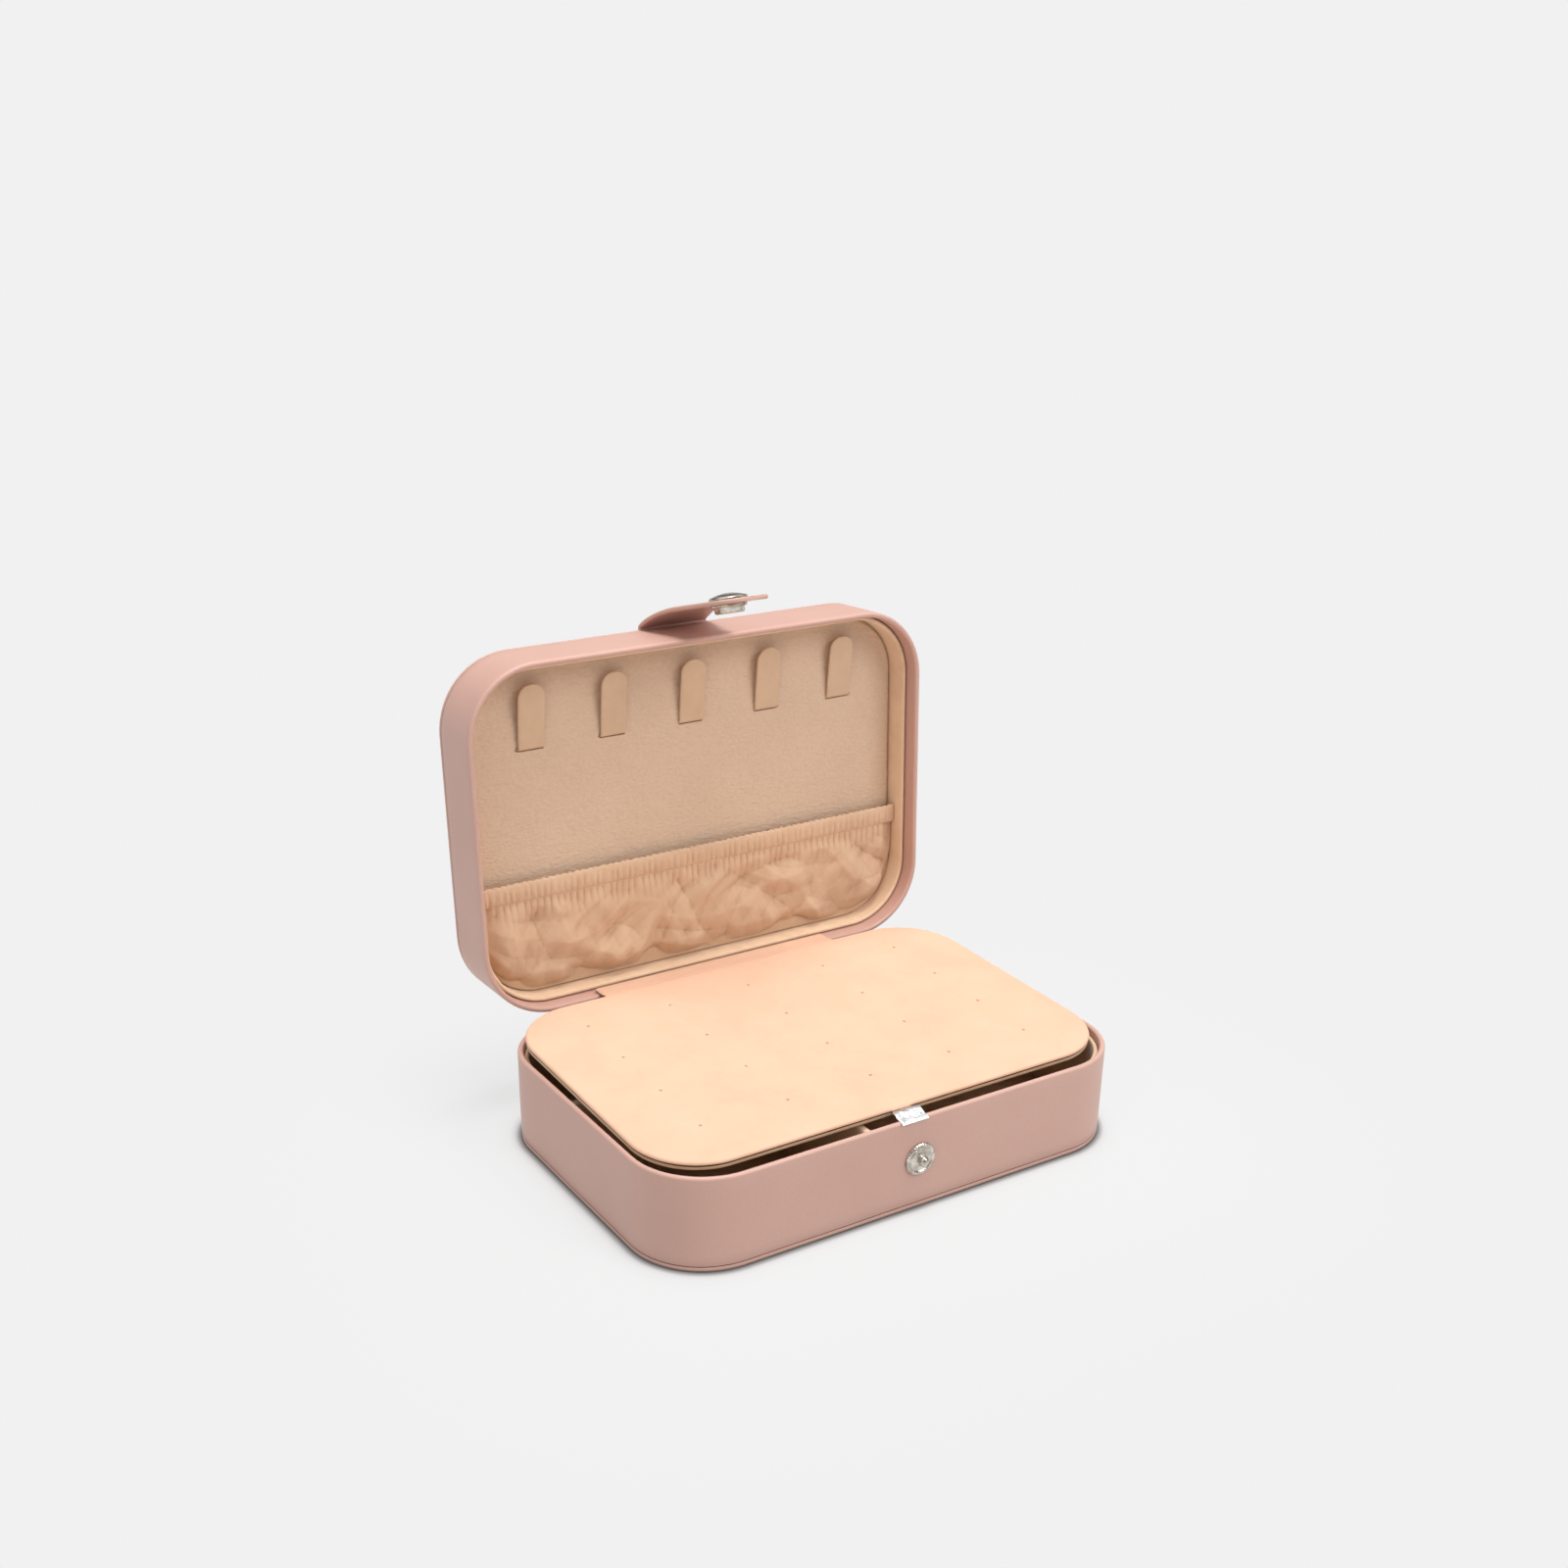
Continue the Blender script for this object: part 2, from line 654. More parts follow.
def necklace_tab(node):
    """Strap for necklaces: out of its slit, a bend, then up with a rounded free end."""
    low, high = span(node, LID_TRAY)
    thick = 0.85 * MM
    half = (high.x - low.x) / 2
    root_z = PANEL_Z + 0.5 * MM
    length = high.y - low.y
    bend = arc((TAB_ROW - 0.55 * MM, PANEL_Z - 0.05 * MM), 0.55 * MM, 0, 80, 6)
    run = [(TAB_ROW, PANEL_Z - 0.75 * MM)] + bend
    tip_r = half
    steps = spread(0.7 * MM, length - tip_r, 1.6 * MM)
    steps += [length - tip_r + tip_r * math.sin(math.radians(a)) for a in range(10, 90, 10)]
    steps += [length - 0.02 * MM]
    rise = high.z - 0.45 * MM - root_z
    run += [(TAB_ROW - s, root_z + rise * (s / length) ** 1.25) for s in steps]
    spine = [Vector(p) for p in run]
    total = sum((b - a).length for a, b in zip(spine, spine[1:]))

    def half_width(s):
        return max(0.15 * MM, half * round_share(total - s, tip_r))

    centre = (low.x + high.x) / 2
    obj = piece(node.replace("necklace_tab", "tab"), ribbon(run, half_width, thick), TAB_SUEDE, None,
                LID_TRAY @ Matrix.Translation((centre, 0, 0)), sharp=50)
    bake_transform(obj)
    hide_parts(node)


lid_panel()
for tab_node in sorted(TAB_NODES):
    necklace_tab(tab_node)


# ---- gathered pocket

POCKET_LOW, POCKET_HIGH = span("elastic_pocket", LID_TRAY)
POCKET_HALF_W = POCKET_HIGH.x
POCKET_MOUTH = POCKET_LOW.y
POCKET_DEPTH = POCKET_HIGH.z - PANEL_Z
POCKET_FOOT = POCKET_HIGH.y
POCKET_R = CORNER_R - (HALF_W - POCKET_HALF_W)
ELASTIC_LOW, ELASTIC_HIGH = span("pocket_elastic", LID_TRAY)
HEM_Z = (ELASTIC_LOW.z + ELASTIC_HIGH.z) / 2
HEM_H = 6.2 * MM
HEM_LINE = POCKET_MOUTH + HEM_H


def foot_of_pocket(x):
    """Tray y of the pocket's lower edge at a place across."""
    over = abs(x) - (POCKET_HALF_W - POCKET_R)
    if over <= 0:
        return POCKET_FOOT
    return POCKET_FOOT - POCKET_R + math.sqrt(max(0, POCKET_R ** 2 - over ** 2))


# Folds of the crumpled cloth: direction in degrees, spacing, height.
FOLDS = [(31, 23 * MM, 2.2 * MM), (-44, 19 * MM, 2.0 * MM), (68, 14 * MM, 1.1 * MM),
         (-76, 12 * MM, 0.9 * MM), (12, 15 * MM, 1.1 * MM), (52, 6 * MM, 0.30 * MM),
         (-24, 7 * MM, 0.34 * MM)]


def crumple(x, y):
    """Sharp-edged folds crossing each other, either side of zero."""
    height = 0
    for seed, (turned, spacing, rise) in enumerate(FOLDS):
        angle = math.radians(turned)
        bend = 0.5 * noise.noise(Vector((x * 42, y * 42, 3 * seed)))
        wave = (x * math.cos(angle) + y * math.sin(angle)) / spacing + bend
        strength = 0.7 + 1.3 * noise.noise(Vector((x * 50, y * 50, 40 + seed)))
        height += rise * (abs(2 * (wave % 1) - 1) - 0.5) * max(0, strength)
    return height


def gather(x):
    """Unevenly spaced gathers along the elastic, -1 to 1."""
    phase = x / (2.35 * MM) * 2 * math.pi + 2.2 * noise.noise(Vector((x * 260, 4, 1)))
    return math.sin(phase) * (0.65 + 0.5 * noise.noise(Vector((x * 190, 9, 2))))


def cloth_height(x, y):
    """Height of the pocket's cloth, in the lid's tray frame."""
    down = (y - HEM_LINE) / (POCKET_FOOT - HEM_LINE)
    room = smooth(0.6 * MM, 7.5 * MM, foot_of_pocket(x) - y)
    sides = smooth(0, 6 * MM, POCKET_HALF_W - abs(x))
    swell = (HEM_Z - PANEL_Z - 0.2 * MM + 0.7 * MM * math.sin(math.pi * min(1, max(0, down)))) * room
    folds = crumple(x, y) * smooth(0, 0.22, down) * smooth(0, 4 * MM, foot_of_pocket(x) - y)
    pulls = gather(x) * (1 - smooth(0.02, 0.3, down)) * 0.34 * MM
    fine = 0.10 * MM * noise.noise(Vector((x * 300, y * 260, 2)))
    low_folds = 0.6 * MM * gather(0.24 * x + 0.08 * y) * smooth(0.4, 0.8, down) * room
    height = swell * (0.4 + 0.6 * sides) + (1.15 * folds + low_folds + pulls + fine) * sides
    return PANEL_Z + min(POCKET_DEPTH + 1.4 * MM, max(0.25 * MM, height))


def cloth_rows(columns, rows):
    """Rows of points over the pocket below its hem, in the tray frame."""
    made = []
    for j in range(rows + 1):
        row = []
        for i in range(columns + 1):
            x = POCKET_HALF_W * (2 * i / columns - 1)
            y = HEM_LINE + (foot_of_pocket(x) - HEM_LINE) * j / rows
            row.append((x, y, cloth_height(x, y)))
        made.append(row)
    return made


def pocket_cloth():
    """The pocket's cloth below its hem, with its folds."""
    shape = grid(cloth_rows(300, 70))
    obj = piece("pocket_cloth", shape, POCKET, "lid", LID_TRAY, sharp=180)
    thick = obj.modifiers.new("thickness", "SOLIDIFY")
    thick.thickness = 0.35 * MM
    thick.offset = -1
    return obj


def pocket_hem():
    """Cloth tube round the elastic, drawn into fine upright gathers, with stitch dimples below."""
    columns = 620
    section = 20
    rows = []
    for i in range(columns + 1):
        x = POCKET_HALF_W * (2 * i / columns - 1)
        ends = smooth(0, 2.5 * MM, POCKET_HALF_W - abs(x))
        pull = gather(x)
        row = []
        for k in range(section):
            out, up = math.cos(math.tau * k / section), math.sin(math.tau * k / section)
            out = math.copysign(abs(out) ** 0.6, out)
            ruffle = 0.3 * MM * pull * (0.3 + 0.7 * smooth(0.9, -0.5, up)) * max(0, out)
            stitch = 0.3 * MM * smooth(-0.4, -0.9, up) * (0.5 + 0.5 * math.cos(x / (1.9 * MM) * math.tau))
            lip = 0.3 * MM * gather(x + 1 * MM) if up > 0.8 else 0
            y = HEM_LINE - HEM_H / 2 + 0.25 * MM * ends - up * HEM_H / 2 - lip * ends
            z = HEM_Z + (0.45 + 0.5 * ends) * MM * out + (ruffle - stitch * max(0, out)) * ends
            row.append((x, y, z))
        rows.append(row)
    return piece("pocket_hem", capped(rows), POCKET, "lid", LID_TRAY, sharp=180)


cloth = pocket_cloth()
hem = pocket_hem()
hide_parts("elastic_pocket")


# ---- earring flap

def flap_size(node):
    """Half width, half depth, middle, underside and top of a node in the flap's frame."""
    low, high = span(node, FLAP)
    return (high.x - low.x) / 2, (high.y - low.y) / 2, (high.y + low.y) / 2, low.z, high.z


def hole_places():
    """Places of the earring holes in the flap's frame: four rows of five."""
    columns = [-2, -1, 0, 1, 2]
    rows = range(4)
    return [(HOLE_X * i, -HOLE_START - HOLE_Y * j) for i in columns for j in rows]


def soft_plate(name, node, edge_r, material, dimple, wave):
    """A flap layer: rounded edges, a slightly uneven face and dimples where the holes pass."""
    half_w, half_d, middle, low, high = flap_size(node)
    radius = FLAP_R - (flap_size("flap_pad")[0] - half_w)
    holes = [(x, y - middle) for x, y in hole_places()]
    rings = []
    for x, y in holes:
        for r in (0, HOLE_R * 0.8, HOLE_R, HOLE_R * 1.35, HOLE_R * 2.2, HOLE_R * 3.6):
            count = 1 if r == 0 else 12
            rings += [(x + r * math.cos(math.tau * k / count), y + r * math.sin(math.tau * k / count))
                      for k in range(count)]

    def dip(x, y):
        near = min(math.hypot(x - u, y - v) for u, v in holes)
        if near < HOLE_R * 0.9:
            return 0.6 * MM
        return dimple * (1 - smooth(HOLE_R, HOLE_R * 3.6, near))

    def face(x, y, side):
        depth = inside(x, y, half_w, half_d, radius)
        uneven = wave * noise.noise(Vector((x, y, side)) * 30) * smooth(2 * MM, 8 * MM, depth)
        return uneven - dip(x, y)

    upper = shoulder(edge_r, high, 7)
    lower_r = min(0.3 * MM, edge_r)
    lower = [(lower_r - x, z) for x, z in arc((0, low + lower_r), lower_r, -90, 0, 4)]
    shape = plate(half_w, half_d, radius, lower + upper, 4 * MM,
                  lambda x, y: high + face(x, y, 1), lambda x, y: low, rings)
    place = FLAP @ Matrix.Translation((0, middle, 0))
    obj = piece(name, shape, material, "flap", place)
    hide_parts(node)
    return obj


flap_top = soft_plate("flap_top", "flap_pad", 0.95 * MM, FLAP_SUEDE, 0.16 * MM, 0.10 * MM)
soft_plate("flap_lining", "flap_board", 0.45 * MM, EDGE_SUEDE, 0.05 * MM, 0.04 * MM)


def flap_tongue():
    """Suede that carries on from inside the flap's back edge and stops short of the lid's liner. It is
    squashed as the lid closes."""
    low, high = span("hinge_lining", LID)
    half = (high.x - low.x) / 2
    thick = 0.7 * MM
    back = FLAP @ Vector((0, 0, -thick / 2))
    liner_edge = LID_TOP - span("lid_liner_ring", LID_TRAY)[1].z
    ring = LID @ Vector((0, HALF_D - LINER_OUT - LINER_T, liner_edge))
    lap, gap, drop = 0.9 * MM, 1.7 * MM, 0.8 * MM
    start = (back.y - lap, back.z + 0.03 * MM)
    end = (ring.y - gap, ring.z - drop)
    path = []
    steps = 16
    for i in range(steps + 1):
        t = i / steps
        sag = 0.25 * MM * math.sin(math.pi * t) ** 2
        path.append((start[0] + (end[0] - start[0]) * t, start[1] + (end[1] - start[1]) * t - sag))
    shape = ribbon(path, lambda s: half, thick, columns=60)
    obj = piece("flap_tongue", shape, FLAP_SUEDE, "base", sharp=50)
    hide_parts("hinge_lining", "flap_hinge_tape")
    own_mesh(obj)


flap_tongue()


# ---- hinge leather at the back

def hinge_skin():
    """Leather over the hinge: down the base's back wall, round the hinge line and up the lid's."""
    low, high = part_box("hinge_spine")
    half = (high.x - low.x) / 2
    flange = 10 * MM
    thick = 0.5 * MM
    out = HALF_D + thick / 2 + 0.02 * MM
    base_path = [(out, z) for z in spread(BASE_H - flange, BASE_H - 1.6 * MM, 1.2 * MM)]
    lid_closed = [(out, z) for z in spread(BASE_H + 2.4 * MM, BASE_H + 0.8 * MM + flange, 1.2 * MM)]
    lid_path = [LID @ Vector((0, *p)) for p in lid_closed]
    pivot = Vector(JOINTS["lid_hinge"]["pos_m"])
    roll = 1.05 * MM
    bend = arc((pivot.y, pivot.z), roll, 0, 45, 5)
    bend = [(pivot.y + roll * 0.75, pivot.z - roll * 0.75)] + bend
    path = base_path + bend[:-1] + [(p.y, p.z) for p in lid_path]
    obj = piece("hinge_skin", ribbon(path, lambda s: half, thick, columns=40), LEATHER, None,
                sharp=60)
    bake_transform(obj)
    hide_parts("hinge_spine", "hinge_lid_strip")


hinge_skin()


# ---- snap and strap

def ribs(count, inner, outer, height):
    """Radial knurling between two radii."""
    def lift(angle, radius, z):
        band = smooth(inner, inner + 0.3 * MM, radius) * (1 - smooth(outer - 0.3 * MM, outer, radius))
        return height * band * math.sin(angle * count) if z > 0.2 * MM else 0
    return lift


def inward(outer, *steps):
    """Profile points from (distance in from an outer radius, height) in millimetres."""
    return [(outer - back * MM, height * MM) for back, height in steps]


def stud_metal():
    """Male half of the snap: knurled flange, dished floor, boss and ball."""
    low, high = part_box("snap_stud")
    outer = (high.x - low.x) / 2
    ball_r = 1.6 * MM
    tip = -HALF_D - low.y
    ball_z = tip - ball_r
    neck = 1.15 * MM
    profile = [(0.01 * MM, -1.0 * MM), (1.3 * MM, -1.0 * MM), (1.3 * MM, 0)]
    profile += inward(outer, (0.2, 0), (0, 0.2), (0, 0.55), (0.35, 0.95), (0.7, 1.05), (1.1, 0.9),
                      (1.35, 0.6), (1.9, 0.5))
    profile += [(2.5 * MM, 0.55 * MM), (2.1 * MM, 0.8 * MM), (1.7 * MM, 0.95 * MM), (neck, 1.1 * MM),
                (neck * 0.95, ball_z - ball_r * 0.65)]
    start = math.degrees(math.asin((-ball_r * 0.65) / ball_r))
    profile += [(max(0.01 * MM, r), ball_z + z) for r, z in arc((0, 0), ball_r, start, 90, 10)]
    axis = Matrix.Translation(((low.x + high.x) / 2, -HALF_D, (low.z + high.z) / 2))
    shape = lathe(profile, 144, ribs(36, outer - 1.2 * MM, outer, 0.07 * MM))
    obj = piece("stud_metal", shape, METAL, "base", axis @ Matrix.Rotation(math.pi / 2, 4, "X"))
    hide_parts("snap_stud")


def strap_path():
    """Middle line of the hanging strap in its own frame, out from its root on an arc and then down,
    and the arc's drop."""
    low = span("strap_outer", STRAP)[0]
    reach = -low.y - STRAP_T / 2
    bend_r = reach / (1 - math.cos(STRAP_BEND))
    drop = bend_r * math.sin(STRAP_BEND)
    curve = []
    for i in range(15):
        angle = STRAP_BEND * (1 - i / 14)
        curve.append((-reach + bend_r * (1 - math.cos(angle)), -drop + bend_r * math.sin(angle)))
    end = low.z
    tip_r = STRAP_W / 2
    straight = [(-reach, z) for z in spread(-drop - 1.2 * MM, end + tip_r, 1.5 * MM)]
    round_end = [(-reach, end + tip_r - tip_r * math.sin(math.radians(a))) for a in range(8, 90, 8)]
    return curve, straight + round_end + [(-reach, end + 0.02 * MM)], drop


STRAP_ROOT_W = span("strap_anchor", STRAP)[1].x * 2


def strap():
    """Two-ply leather strap: glued on the lid's top, over its edge and down to the snap."""
    curve, straight, drop = strap_path()
    patch = [(y, 0.45 * MM) for y in spread(15 * MM, 1.2 * MM, 1.5 * MM)]
    over = [(0.55 * MM, 0.33 * MM), (0.1 * MM, 0.08 * MM)]
    path = patch + over + curve[1:] + straight
    spine = [Vector(p) for p in path]
    lengths = [0]
    for a, b in zip(spine, spine[1:]):
        lengths.append(lengths[-1] + (b - a).length)
    root_at = lengths[len(patch) + 1]
    total = lengths[-1]
    tip_r = STRAP_W / 2
    patch_r = 4 * MM

    def half_width(s):
        left = total - s
        wide = STRAP_ROOT_W / 2 - 0.3 * MM
        width = wide + (STRAP_W / 2 - wide) * smooth(root_at + 1 * MM, root_at + drop + 4 * MM, s)
        if left < tip_r:
            width = min(width, tip_r * round_share(left, tip_r))
        width -= patch_r * (1 - round_share(s, patch_r))
        return max(0.2 * MM, width)

    shape = ribbon(path, half_width, STRAP_T, columns=18, edge_steps=5)
    obj = piece("strap_leather", shape, LEATHER, None, STRAP, sharp=60)
    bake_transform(obj)
    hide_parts("strap_outer", "strap_inner", "strap_anchor")


def on_strap():
    """Axis of the snap's halves on the strap: origin on the strap's outer face, Z outward."""
    low, high = span("snap_cap", STRAP)
    face = span("strap_outer", STRAP)[0].y
    middle = ((low.x + high.x) / 2, face, (low.z + high.z) / 2)
    return STRAP @ Matrix.Translation(middle) @ Matrix.Rotation(math.pi / 2, 4, "X")


def cap_metal():
    """Outer cap of the snap: a shallow dome with a turned edge and a faint ring."""
    low, high = span("snap_cap", STRAP)
    outer = (high.x - low.x) / 2
    rise = span("strap_outer", STRAP)[0].y - low.y
    profile = [(0.01 * MM, -0.9 * MM), (1.4 * MM, -0.9 * MM), (1.4 * MM, 0)]
    profile += inward(outer, (0.5, 0), (0, 0.15), (0, 0.45), (0.3, 0.75))
    for share in (0.88, 0.82, 0.78, 0.72, 0.6, 0.45, 0.3, 0.15, 0.002):
        groove = 0.09 * MM if share in (0.82, 0.78) else 0
        dome = (rise - 0.75 * MM) * math.cos(share * math.pi / 2)
        profile.append((outer * share, 0.75 * MM + dome - groove))
    obj = piece("cap_metal", lathe(profile, 96), METAL, "strap", on_strap())
    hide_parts("snap_cap")


def socket_metal():
    """Female half of the snap: flange, turned wall and mouth."""
    low, high = span("snap_socket", STRAP)
    outer = (high.x - low.x) / 2
    tall = high.y - low.y
    mouth = 1.8 * MM
    turned = ((1.0, 0.5), (1.3, 0.12), (1.8, 0), (2.2, 0.35), (2.7, 0.45), (3.1, 0.2))
    profile = [(mouth, 0.4 * MM), (0.01 * MM, 0.4 * MM), (0.01 * MM, 0)]
    profile += inward(outer, (0.2, 0), (0, 0.2), (0, 0.6), (0.35, 0.85), (0.9, 0.95))
    profile += [(outer - back * MM, tall - down * MM) for back, down in turned]
    profile += [(mouth + 0.25 * MM, tall - 0.15 * MM), (mouth, tall - 0.45 * MM)]
    axis = on_strap() @ Matrix.Translation((0, 0, -STRAP_T)) @ Matrix.Rotation(math.pi, 4, "X")
    shape = lathe(profile, 120, ribs(30, outer - 1.9 * MM, outer + 0.2 * MM, 0.05 * MM))
    obj = piece("socket_metal", shape, METAL, "strap", axis)
    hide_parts("snap_socket")


stud_metal()
strap()
cap_metal()
socket_metal()


# ---- pull tab

def pull_tab():
    """Bright folded metal sheet: out of the flap's edge, up in a crimp and down over the rim."""
    low, high = span("pull_tab", FLAP)
    centre = (low.x + high.x) / 2
    _, half_d, middle, _, _ = flap_size("flap_pad")
    front = middle - half_d
    thick = 0.3 * MM
    root_z = flap_size("flap_core")[4] - 0.25 * MM
    out = low.y - front
    end_z = low.z + thick / 2
    crimp = ((-5, 0), (-0.3, 0), (0.5, 0.12), (1.3, 0.8), (1.9, 0.95), (3.0, 0.9))
    over_rim = ((-1.7, 0.45), (-0.8, 0.12), (0.3, 0.06), (0.9, -0.12), (1.3, -0.45))
    path = [(front - forward * MM, root_z + up * MM) for forward, up in crimp]
    path += [(front + out - forward * MM, end_z + up * MM) for forward, up in over_rim]
    neck, lip = 3.2 * MM, (high.x - low.x) / 2

    def half_width(s):
        return neck + (lip - neck) * smooth(5.6 * MM, 7.4 * MM, s)

    shape = ribbon(path, half_width, thick, columns=8, edge_steps=2)
    place = FLAP @ Matrix.Translation((centre, 0, 0))
    obj = piece("pull_sheet", shape, BRIGHT, "flap", place, sharp=25)
    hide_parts("pull_tab")


pull_tab()


# ---- inside the base

def floor_pad():
    """Velvet pad on the tray's floor, slightly uneven."""
    low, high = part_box("base_floor_pad")
    radius = CORNER_R - (HALF_W - high.x)
    edge_r = 0.35 * MM

    def top(x, y):
        return high.z - 0.05 * MM + 0.12 * MM * noise.noise(Vector((x, y, 7)) * 35)

    profile = [(2 * MM, low.z), (0, low.z)] + shoulder(edge_r, high.z, 5)
    shape = plate(high.x, high.y, radius, profile, 5 * MM, top, lambda x, y: low.z)
    obj = piece("floor_velvet", shape, ROLL_VELVET, "base")
    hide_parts("base_floor_pad")


def board_section(half_t, low, high, round_r):
    """Upright board in section: square foot, rounded top."""
    top = arc((half_t - round_r, high - round_r), round_r, 0, 90, 5)
    top += arc((-half_t + round_r, high - round_r), round_r, 90, 180, 5)
    side = spread(low, high - round_r, 4 * MM)
    return [(half_t, z) for z in side[:-1]] + top + [(-half_t, z) for z in reversed(side[:-1])]


def divider(node):
    """Suede-wrapped divider with a rounded top, slightly uneven along its length."""
    low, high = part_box(node)
    along_x = high.x - low.x > high.y - low.y
    middle = (low + high) / 2
    half_t = (high.y - low.y if along_x else high.x - low.x) / 2
    start, end = (low.x, high.x) if along_x else (low.y, high.y)
    rows = []
    for place in spread(start, end, 3 * MM):
        inner = smooth(0, 4 * MM, min(place - start, end - place))
        row = []
        for side, z in board_section(half_t, low.z, high.z, 0.9 * MM):
            uneven = 0.10 * MM * inner * noise.noise(Vector((place, z, side)) * 60)
            side += uneven
            row.append((place, middle.y + side, z) if along_x else (middle.x + side, place, z))
        rows.append(row)
    obj = piece(node + "_suede", capped(rows), LINER_SUEDE, "base")
    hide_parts(node)


def ring_roll(node):
    """Velvet roll that rings sit between: plump, flat below, with gathered ends."""
    low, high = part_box(node)
    middle_y = (low.y + high.y) / 2
    radius = (high.y - low.y) / 2
    tall = high.z - low.z
    section = 28
    squared = 0.72
    full = 0.985
    rows = []
    for x in spread(low.x + 0.1 * MM, high.x - 0.1 * MM, 1.5 * MM):
        near = min(x - low.x, high.x - x)
        plump = round_share(near, 2.5 * MM) * 0.16 + 0.84
        row = []
        for k in range(section):
            angle = math.tau * k / section
            across, up = math.cos(angle), math.sin(angle)
            across = math.copysign(abs(across) ** squared, across)
            up = math.copysign(abs(up) ** squared, up)
            soft = 1 + 0.012 * noise.noise(Vector((x * 120, across * 2, up * 2)))
            y = middle_y + across * radius * plump * soft * full
            z = low.z + tall / 2 + up * tall / 2 * (plump if up > 0 else 1) * soft * full
            row.append((x, y, z))
        rows.append(row)
    obj = piece(node + "_velvet", capped(rows), ROLL_VELVET, "base", sharp=60)
    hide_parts(node)


floor_pad()
for divider_node in ("divider_main", "divider_left", "divider_right"):
    divider(divider_node)
for roll_node in sorted(n for n in frame["nodes"] if n.startswith("ring_roll_") and n[-1].isdigit()):
    ring_roll(roll_node)


# ---- CAD nodes that stay

def dress(material, *nodes):
    """Gives CAD nodes a material."""
    for node in nodes:
        data = frame["nodes"][node].data
        data.materials.clear()
        data.materials.append(material)


dress(BOARD, "ring_roll_card")
dress(DARK_BOARD, "base_wall_core", "base_bottom_board", "lid_wall_core", "lid_top_board", "flap_core")
dress(FOAM, "lid_foam")
dress(ELASTIC, "pocket_elastic")
dress(LINER_SUEDE, "tab_anchors")
dress(METAL, "stud_washer")


# ---- camera, floor and light

AZIMUTH = 31.31
ELEVATION = 25.17
EYE = Vector((-280.6, -408.1, 278.6)) * MM
LENS = 41.05
SHIFT = (0.039, 0.134)


def camera():
    """The photograph's viewpoint."""
    data = bpy.data.cameras.new("camera")
    data.lens = LENS
    data.sensor_width = 36
    data.shift_x, data.shift_y = SHIFT
    data.clip_start = 0.01
    data.clip_end = 100
    obj = placed("camera", data)
    obj.location = EYE
    obj.rotation_euler = (math.radians(90 - ELEVATION), 0, math.radians(-AZIMUTH))
    bpy.context.scene.camera = obj


BACKDROP = srgb(241, 241, 241)


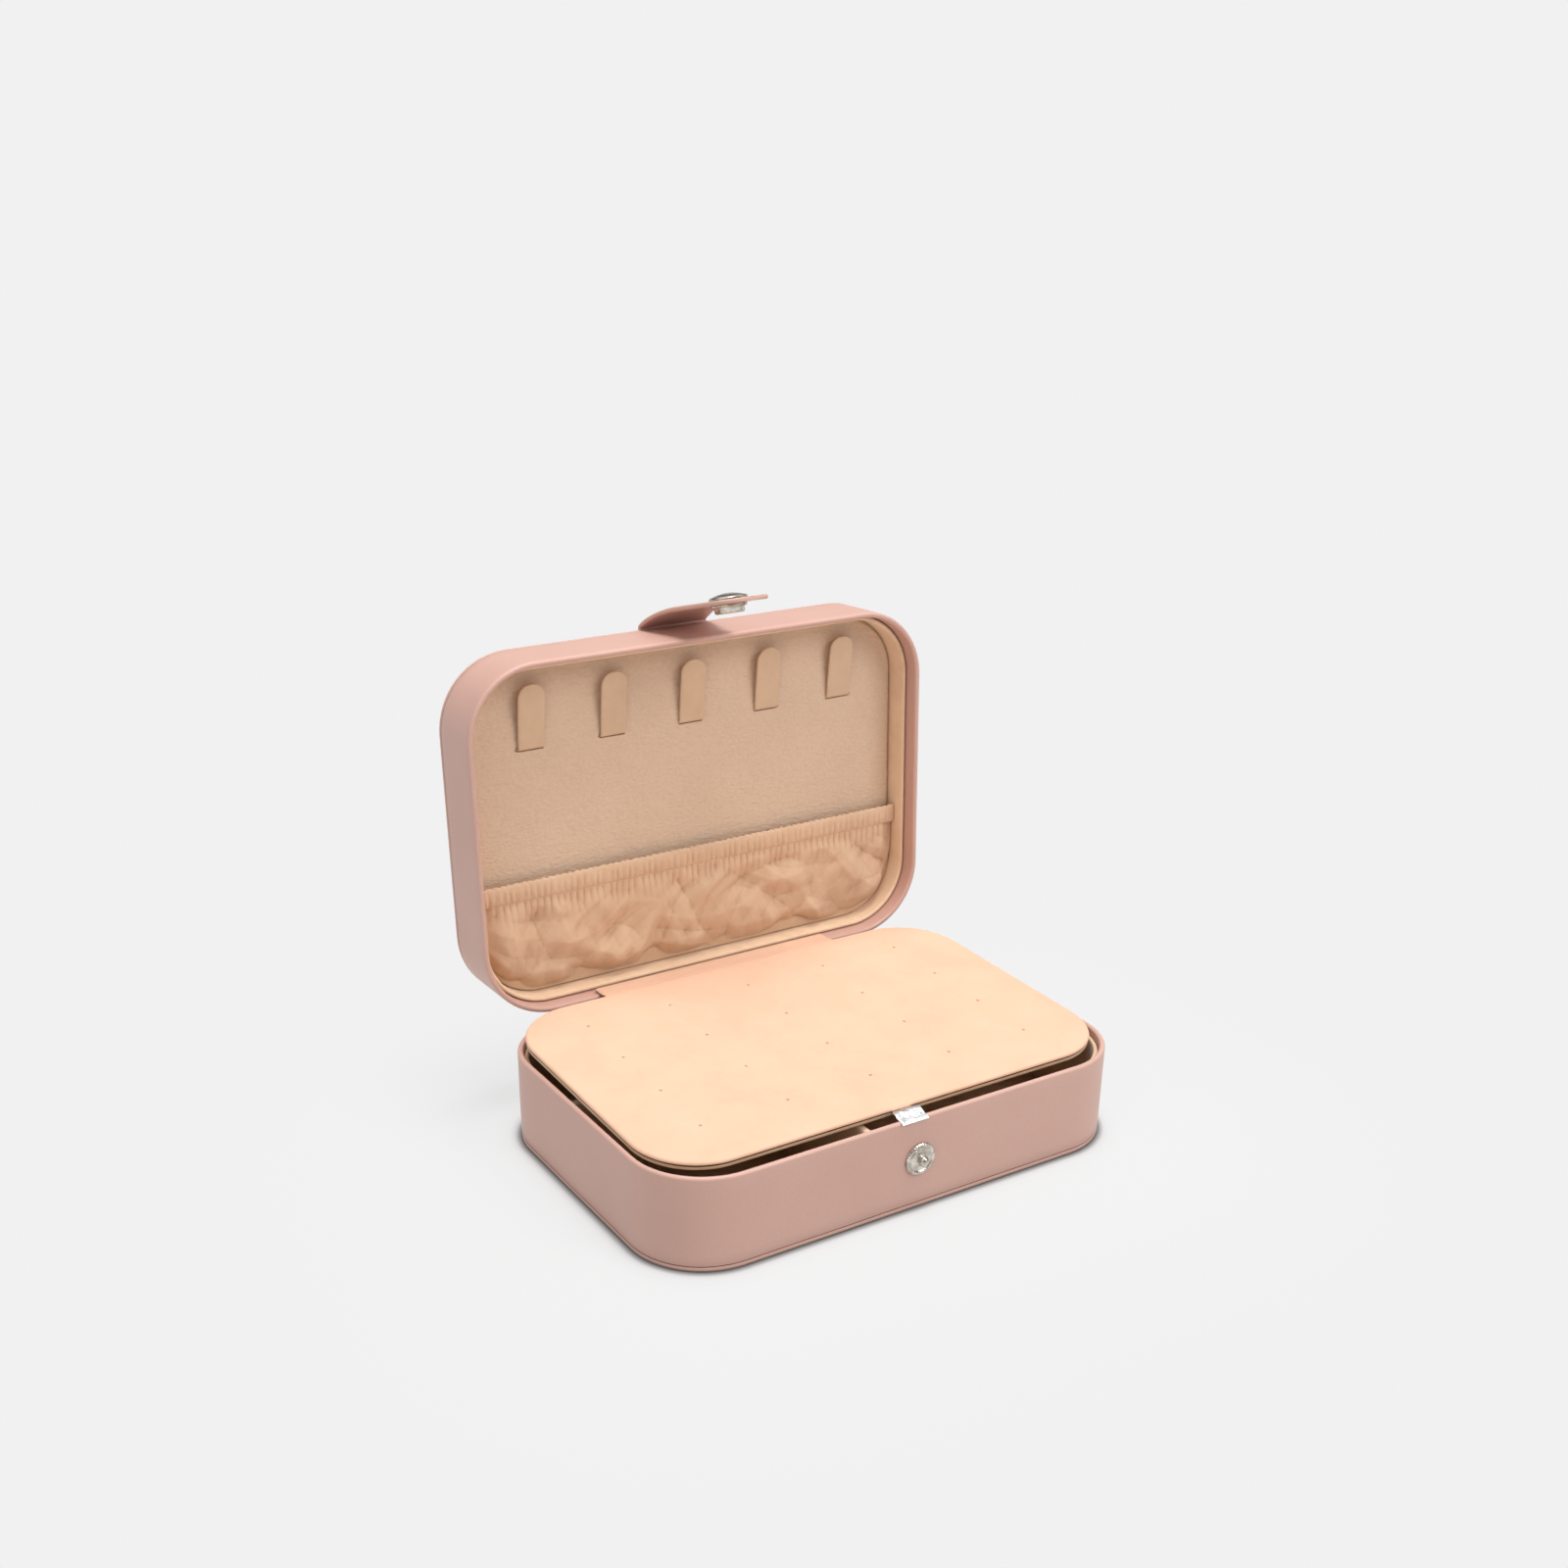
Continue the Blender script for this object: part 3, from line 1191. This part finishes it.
def floor():
    """Pale floor: it takes the case's shadow close by and is the backdrop's colour further off. Part of
    the contact shadow is painted, by the darker colour at the case's foot."""
    outs = [0, 0.001, 0.002, 0.0035, 0.005, 0.008, 0.014, 0.022, 0.032, 0.045, 0.065, 0.09, 0.13]
    outs += [0.3, 1, 5, 20]
    stations = around(HALF_W - 1 * MM, HALF_D - 1 * MM, CORNER_R - 1 * MM)
    vertices, faces = sweep(stations, [(-out, 0) for out in outs], closed=False)
    under = tuple(i * len(outs) for i in range(len(stations)))
    look = Look("floor", roughness=0.9, specular=0.1)
    near = look.add("Attribute", {}, attribute_name="far").outputs["Fac"]
    stops = [(0.05, (0.10, 0.09, 0.085, 1)), (0.5, (0.64, 0.64, 0.64, 1))]
    look.colour(look.ramp(near, stops))
    glow = look.add("Emission", {"Color": BACKDROP}).outputs["Emission"]
    mix = look.add("MixShader", {"Fac": near, 1: look.shader.outputs["BSDF"], 2: glow})
    feed(look.tree, look.tree.nodes["Material Output"].inputs["Surface"], mix.outputs["Shader"])
    obj = piece("floor", (vertices, faces + [under]), look.material)
    far = obj.data.attributes.new("far", "FLOAT", "POINT")
    for vertex, share in zip(obj.data.vertices, far.data):
        out = -inside(vertex.co.x, vertex.co.y, HALF_W, HALF_D, CORNER_R)
        share.value = 0.05 + 0.75 * smooth(-0.0005, 0.0045, out) + 0.20 * smooth(0.005, 0.11, out)


def sky():
    """Even light from all round, seen by the camera as the backdrop's colour. Mirrored, it is a room
    banded in grey."""
    world = bpy.data.worlds.new("studio")
    world.use_nodes = True
    tree = world.node_tree
    soft = tree.nodes["Background"]
    soft.inputs["Color"].default_value = (1, 1, 1, 1)
    soft.inputs["Strength"].default_value = 0.42
    seen = add_node(tree, "Background", {"Color": BACKDROP})
    place = add_node(tree, "TexCoord", {})
    upward = add_node(tree, "SeparateXYZ", {"Vector": place.outputs["Generated"]})
    bands = add_node(tree, "ValToRGB", {"Fac": upward.outputs["Z"]})
    for position, grey in ((0.12, 0.95), (0.24, 0.22), (0.5, 0.1), (0.62, 0.7)):
        element = bands.color_ramp.elements.new(position)
        element.color = (grey, grey, grey, 1)
    mirrored = add_node(tree, "Background", {"Color": bands.outputs["Color"]})
    path = add_node(tree, "LightPath", {}).outputs
    glossy = add_node(tree, "MixShader", {"Fac": path["Is Glossy Ray"], 1: soft.outputs[0],
                                          2: mirrored.outputs[0]})
    mix = add_node(tree, "MixShader", {"Fac": path["Is Camera Ray"], 1: glossy.outputs[0],
                                       2: seen.outputs[0]})
    feed(tree, tree.nodes["World Output"].inputs["Surface"], mix.outputs["Shader"])
    bpy.context.scene.world = world


def lamp(name, place, size, watts):
    """Square soft light at a place, facing the case."""
    data = bpy.data.lights.new(name, "AREA")
    data.size = size
    data.energy = watts
    obj = placed(name, data)
    obj.location = place
    aim = Vector((0, 0, 0.05)) - Vector(place)
    obj.rotation_euler = aim.to_track_quat("-Z", "Y").to_euler()


camera()
floor()
sky()
lamp("key_light", (0.6, -0.95, 1.05), 0.7, 9)
lamp("fill_light", (-1.1, -0.5, 0.9), 1.2, 3.5)
lamp("top_light", (0.05, 0.02, 1.45), 0.6, 17)
bpy.context.scene.view_settings.view_transform = "Standard"
